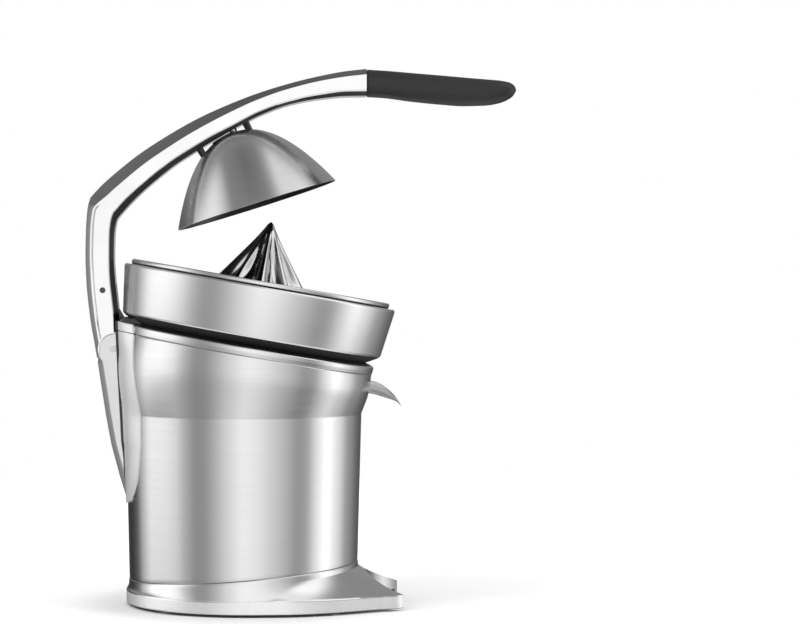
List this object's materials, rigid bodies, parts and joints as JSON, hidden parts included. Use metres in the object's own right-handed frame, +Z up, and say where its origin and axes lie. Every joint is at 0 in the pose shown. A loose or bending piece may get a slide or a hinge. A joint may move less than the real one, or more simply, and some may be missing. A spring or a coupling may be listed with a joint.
{
  "type": "lever citrus juice press",
  "caption": "Motor citrus press with a tall flared body, leaning bowl and cone, a long bent lever arm that lowers a dome, and a tip-up spout over a glass recess.",
  "frame": {"origin": "centre of the whole press on the table, under its feet", "axes": "+Z up, +X towards the spout and the grip, +Y away from the side that the picture shows"},
  "size_m": [0.3484, 0.2222, 0.432],
  "materials": {
    "brushed_steel": "brushed",
    "bright_steel": "polished",
    "cast_metal": "polished die casting",
    "black_plastic": "fine grain",
    "soft_black": "soft touch",
    "black_rubber": "matte",
    "nylon": "natural nylon",
    "grey_plastic": "moulded",
    "brass": "machined",
    "copper": "lacquered windings"
  },
  "bodies": {
    "housing": {"base_skirt": "cast_metal", "base_plate": "black_plastic", "rubber_foot_1": "black_rubber", "rubber_foot_2": "black_rubber", "rubber_foot_3": "black_rubber", "rubber_foot_4": "black_rubber", "base_screw_1": "bright_steel", "base_screw_2": "bright_steel", "base_screw_3": "bright_steel", "base_screw_4": "bright_steel", "cord_inlet": "black_rubber", "housing_shell": "brushed_steel", "housing_ring": "cast_metal", "top_deck": "black_plastic", "rear_column": "cast_metal", "column_cap_near": "black_plastic", "column_cap_far": "black_plastic", "lower_link_pin": "bright_steel", "upper_link_pin": "bright_steel", "spindle_bush": "brass", "microswitch": "grey_plastic", "gearbox_case": "grey_plastic", "gearbox_cover": "grey_plastic", "gearbox_screw_1": "bright_steel", "gearbox_screw_2": "bright_steel", "gearbox_screw_3": "bright_steel", "gearbox_screw_4": "bright_steel", "compound_axle": "bright_steel", "motor_end_cap": "cast_metal", "motor_can": "grey_plastic", "return_spring": "bright_steel", "juice_bowl": "brushed_steel", "bowl_outlet": "brushed_steel", "pulp_filter": "brushed_steel", "spout_pin": "bright_steel", "spout_bracket": "black_plastic"},
    "rear_link_body": {"rear_link": "cast_metal", "knee_pin": "bright_steel"},
    "arm_body": {"press_arm": "cast_metal", "grip": "soft_black", "grip_screw": "bright_steel", "dome_collar": "cast_metal", "press_dome": "brushed_steel", "dome_bolt": "bright_steel", "arm_link_pin": "bright_steel"},
    "upper_link_body": {"upper_link": "bright_steel"},
    "press_carrier": {"thrust_cup": "nylon"},
    "spindle": {"drive_shaft": "bright_steel", "juicing_cone": "cast_metal"},
    "output_gear_body": {"output_gear": "nylon"},
    "compound_gear_body": {"compound_gear": "nylon"},
    "rotor": {"motor_armature": "copper", "motor_pinion": "brass"},
    "plunger": {"switch_plunger": "nylon"},
    "spout_body": {"spout": "brushed_steel"}
  },
  "joints": [
    {"name": "rear_link_pivot", "type": "hinge", "parent": "housing", "child": "rear_link_body", "pos_m": [-0.13471, 0, 0.102], "axis": [0, 1, 0], "range_deg": [-19.3, 1.9]},
    {"name": "arm_lever", "type": "hinge", "parent": "rear_link_body", "child": "arm_body", "pos_m": [-0.15091, 0, 0.206], "axis": [0, 1, 0], "range_deg": [-4, 42.25]},
    {"name": "upper_link_pivot", "type": "hinge", "parent": "housing", "child": "upper_link_body", "pos_m": [-0.12881, 0, 0.1991], "axis": [0, 1, 0], "range_deg": [-16.7, 1.7]},
    {"name": "cone_press", "type": "slide", "parent": "housing", "child": "press_carrier", "axis": [-0.1736, 0, -0.9848], "range_m": [0, 0.0022], "stiffness_N_per_m": 4000, "springref_m": -0.004, "deforming": ["return_spring"]},
    {"name": "cone_spin", "type": "hinge", "parent": "press_carrier", "child": "spindle", "pos_m": [-0.04671, 0, 0.1807], "axis": [0.1736, 0, 0.9848], "continuous": true},
    {"name": "output_gear_spin", "type": "hinge", "parent": "housing", "child": "output_gear_body", "pos_m": [-0.04671, 0, 0.1807], "axis": [0.1736, 0, 0.9848], "continuous": true},
    {"name": "compound_gear_spin", "type": "hinge", "parent": "housing", "child": "compound_gear_body", "pos_m": [-0.05333, 0.03811, 0.18187], "axis": [0.1736, 0, 0.9848], "continuous": true},
    {"name": "motor_spin", "type": "hinge", "parent": "housing", "child": "rotor", "pos_m": [-0.07891, 0.02311, 0.18638], "axis": [0.1736, 0, 0.9848], "continuous": true},
    {"name": "plunger_slide", "type": "slide", "parent": "housing", "child": "plunger", "axis": [-0.1736, 0, -0.9848], "range_m": [0, 0.0022]},
    {"name": "spout_tilt", "type": "hinge", "parent": "housing", "child": "spout_body", "pos_m": [0.04469, 0, 0.1662], "axis": [0, -1, 0], "range_deg": [0, 15]}
  ],
  "couplings": [
    {"joint": "rear_link_pivot", "follows": "arm_lever", "ratio": -0.4556},
    {"joint": "upper_link_pivot", "follows": "arm_lever", "ratio": -0.3932},
    {"joint": "output_gear_spin", "follows": "cone_spin", "ratio": 1},
    {"joint": "compound_gear_spin", "follows": "cone_spin", "ratio": -3.3},
    {"joint": "motor_spin", "follows": "cone_spin", "ratio": 13.2},
    {"joint": "plunger_slide", "follows": "cone_press", "ratio": 1}
  ]
}
